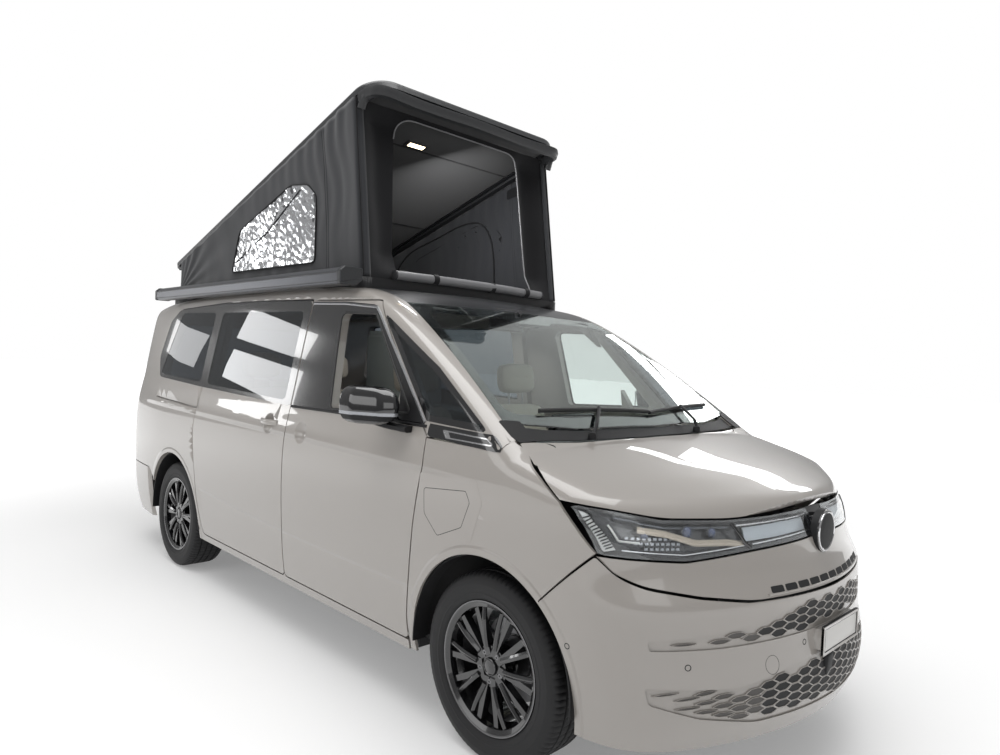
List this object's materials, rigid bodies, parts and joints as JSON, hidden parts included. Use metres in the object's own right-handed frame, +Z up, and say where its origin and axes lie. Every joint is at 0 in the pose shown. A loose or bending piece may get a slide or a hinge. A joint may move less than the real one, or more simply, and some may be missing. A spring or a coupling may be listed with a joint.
{
  "type": "camper van",
  "caption": "Camper van with a raised pop-up roof tent, side awning case, hinged front doors, bonnet and tailgate, steered front wheels and furnished cabin.",
  "frame": {"origin": "centre of the footprint box on the ground", "axes": "+X forwards, +Y to the left side, +Z up; it stands on its tyres at Z 0"},
  "size_m": [5.1731, 2.25, 2.9366],
  "materials": {
    "body_paint": "warm light grey, gloss",
    "black_trim": "fine grained, dark",
    "gloss_black": "piano gloss",
    "clear_glass": "clear, faint green",
    "privacy_glass": "dark tint",
    "lamp_lens": "clear lens",
    "red_lens": "dark red lens",
    "tyre_rubber": "dusty black",
    "wheel_paint": "gloss black",
    "chassis_steel": "dark coated",
    "roof_paint": "charcoal, satin",
    "dark_aluminium": "anthracite, satin",
    "tent_cloth": "charcoal weave",
    "seat_cloth": "beige weave",
    "cabin_plastic": "soft black",
    "cabinet_board": "grey green board",
    "hinge_steel": "coated"
  },
  "bodies": {
    "body": {"arch_liners": "black_trim", "awning": "dark_aluminium", "axles": "chassis_steel", "body_sides": "body_paint", "dashboard": "cabin_plastic", "engine_block": "chassis_steel", "floor_pan": "chassis_steel", "front_badge": "gloss_black", "front_bumper": "body_paint", "front_fenders": "body_paint", "front_frame": "chassis_steel", "front_grilles": "black_trim", "headlamps": "lamp_lens", "kitchen_unit": "cabinet_board", "nose_panel": "body_paint", "rear_bumper": "body_paint", "roof_frame": "black_trim", "roof_panel": "body_paint", "seats": "seat_cloth", "side_glass": "privacy_glass", "sliding_doors": "body_paint", "tail_lamps": "red_lens", "tent_fabric": "tent_cloth", "windscreen": "clear_glass"},
    "door_right": {"front_door_right": "body_paint", "mirror_right": "gloss_black"},
    "door_left": {"front_door_left": "body_paint", "mirror_left": "gloss_black", "front_door_glass_left": "clear_glass"},
    "tail_door": {"tailgate": "body_paint", "tailgate_glass": "privacy_glass"},
    "bonnet_lid": {"bonnet": "body_paint"},
    "steer_right": {"knuckle_right": "chassis_steel"},
    "steer_left": {"knuckle_left": "chassis_steel"},
    "wheel_fr": {"wheel_front_right": "wheel_paint", "tyre_front_right": "tyre_rubber"},
    "wheel_fl": {"wheel_front_left": "wheel_paint", "tyre_front_left": "tyre_rubber"},
    "wheel_rr": {"wheel_rear_right": "wheel_paint", "tyre_rear_right": "tyre_rubber"},
    "wheel_rl": {"wheel_rear_left": "wheel_paint", "tyre_rear_left": "tyre_rubber"},
    "roof_lift": {"roof_arms": "hinge_steel"},
    "roof_lid": {"pop_roof_lid": "roof_paint"},
    "steer_wheel": {"steering_wheel": "cabin_plastic"}
  },
  "joints": [
    {"name": "door_right_hinge", "type": "hinge", "parent": "body", "child": "door_right", "pos_m": [1.1765, -0.945, 0.77], "axis": [0, 0, 1], "range_deg": [0, 65]},
    {"name": "door_left_hinge", "type": "hinge", "parent": "body", "child": "door_left", "pos_m": [1.1765, 0.945, 0.77], "axis": [0, 0, -1], "range_deg": [0, 65]},
    {"name": "tailgate_hinge", "type": "hinge", "parent": "body", "child": "tail_door", "pos_m": [-2.4215, 0, 1.79863], "axis": [0, 1, 0], "range_deg": [0, 80]},
    {"name": "bonnet_hinge", "type": "hinge", "parent": "body", "child": "bonnet_lid", "pos_m": [1.7785, 0, 1.17569], "axis": [0, -1, 0], "range_deg": [0, 50]},
    {"name": "steer_left_pivot", "type": "hinge", "parent": "body", "child": "steer_left", "pos_m": [1.6565, 0.695, 0.3], "axis": [0, 0, 1], "range_deg": [-30, 30]},
    {"name": "steer_right_pivot", "type": "hinge", "parent": "body", "child": "steer_right", "pos_m": [1.6565, -0.695, 0.3], "axis": [0, 0, 1], "range_deg": [-30, 30]},
    {"name": "steering_column", "type": "hinge", "parent": "body", "child": "steer_wheel", "pos_m": [1.1765, 0.385, 1.03], "axis": [-0.9135, 0, 0.4067], "range_deg": [-420, 420]},
    {"name": "roof_arm_pivot", "type": "hinge", "parent": "body", "child": "roof_lift", "pos_m": [-2.3335, 0, 1.912], "axis": [0, 1, 0], "range_deg": [0, 38], "deforming": ["tent_fabric"]},
    {"name": "roof_lid_pivot", "type": "hinge", "parent": "roof_lift", "child": "roof_lid", "pos_m": [-2.1235, 0, 2.098], "axis": [0, 1, 0], "range_deg": [-21.2, 0]},
    {"name": "wheel_fr_spin", "type": "hinge", "parent": "steer_right", "child": "wheel_fr", "pos_m": [1.6565, -0.81, 0.355], "axis": [0, 1, 0], "continuous": true},
    {"name": "wheel_fl_spin", "type": "hinge", "parent": "steer_left", "child": "wheel_fl", "pos_m": [1.6565, 0.81, 0.355], "axis": [0, 1, 0], "continuous": true},
    {"name": "wheel_rr_spin", "type": "hinge", "parent": "body", "child": "wheel_rr", "pos_m": [-1.4675, -0.81, 0.355], "axis": [0, 1, 0], "continuous": true},
    {"name": "wheel_rl_spin", "type": "hinge", "parent": "body", "child": "wheel_rl", "pos_m": [-1.4675, 0.81, 0.355], "axis": [0, 1, 0], "continuous": true}
  ],
  "couplings": [
    {"joint": "steer_right_pivot", "follows": "steer_left_pivot", "ratio": 1},
    {"joint": "steering_column", "follows": "steer_left_pivot", "ratio": 14},
    {"joint": "roof_lid_pivot", "follows": "roof_arm_pivot", "ratio": -0.5579}
  ]
}
